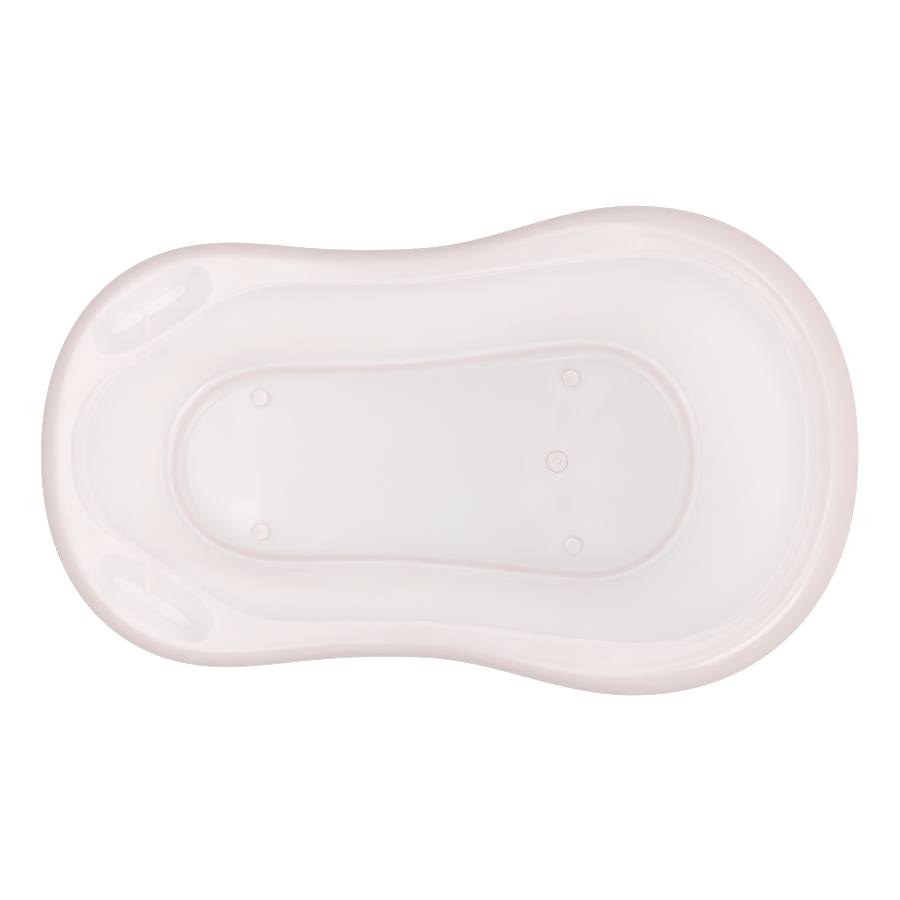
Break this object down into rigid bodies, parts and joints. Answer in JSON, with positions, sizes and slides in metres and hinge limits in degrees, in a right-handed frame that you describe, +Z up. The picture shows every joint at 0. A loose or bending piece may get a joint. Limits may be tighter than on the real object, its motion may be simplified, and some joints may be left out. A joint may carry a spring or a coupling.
{
  "type": "baby bathtub",
  "caption": "Oval baby bathtub with a waisted rim, soap trays in the foot-end rim, a recessed floor with a lift-out drain plug, and soft grip pads underneath.",
  "frame": {"origin": "on the ground, under the middle of the rim's outline", "axes": "+X along the tub towards its wide, raised head end; +Y towards the side that is left when facing the head end; +Z up"},
  "size_m": [0.82, 0.492, 0.245],
  "materials": {
    "tub": "pearly white polypropylene, glossy",
    "plug": "soft white elastomer, satin",
    "pad": "soft pale grey elastomer, matt"
  },
  "bodies": {
    "tub": {"tub_shell": "tub", "grip_pad_head_left": "pad", "grip_pad_head_right": "pad", "grip_pad_foot_left": "pad", "grip_pad_foot_right": "pad"},
    "plug": {"drain_plug": "plug"}
  },
  "joints": [
    {"name": "plug_pull", "type": "slide", "parent": "tub", "child": "plug", "axis": [0, 0, 1], "range_m": [0, 0.26]}
  ]
}
